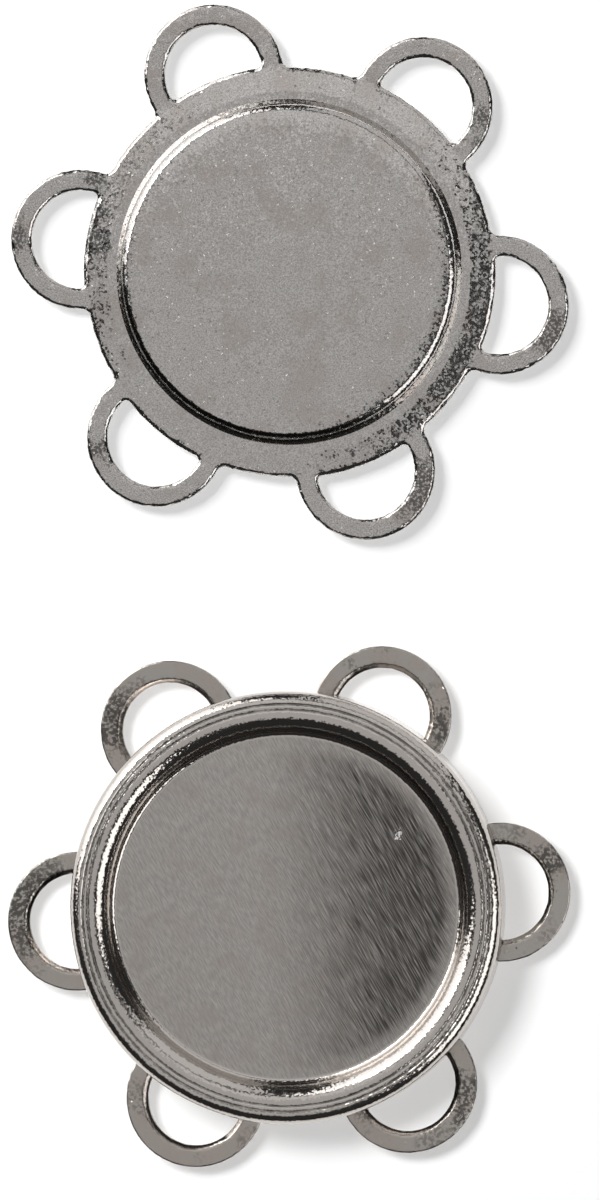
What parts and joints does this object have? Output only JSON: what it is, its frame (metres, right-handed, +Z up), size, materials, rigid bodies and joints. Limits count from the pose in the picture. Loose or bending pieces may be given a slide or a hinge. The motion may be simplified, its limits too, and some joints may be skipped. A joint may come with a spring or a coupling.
{
  "type": "magnetic snap",
  "caption": "Sew-on magnetic snap: round socket half with a recess and a magnet, and stud half with a raised disc, each ringed by sewing loops.",
  "frame": {"origin": "middle of the pair's footprint, on the surface that both halves lie on", "axes": "+X to the picture's right, +Y from the socket half to the stud half, +Z up out of both working faces"},
  "size_m": [0.019, 0.0394, 0.0026],
  "materials": {
    "cap_nickel": "nickel-plated drawn steel sheet, polished rim, finely brushed recess floor",
    "magnet": "sintered disc magnet, dull dark grey",
    "loop_nickel": "nickel-plated flat steel sheet, satin with stains",
    "stud_nickel": "nickel-plated stamped steel sheet, fine matte grain with bright specks",
    "keeper_steel": "plain turned steel disc, satin"
  },
  "bodies": {
    "root": {"socket_cap": "cap_nickel", "socket_magnet": "magnet", "socket_loop_plate": "loop_nickel", "stud_plate": "stud_nickel", "stud_keeper": "keeper_steel"}
  },
  "joints": []
}
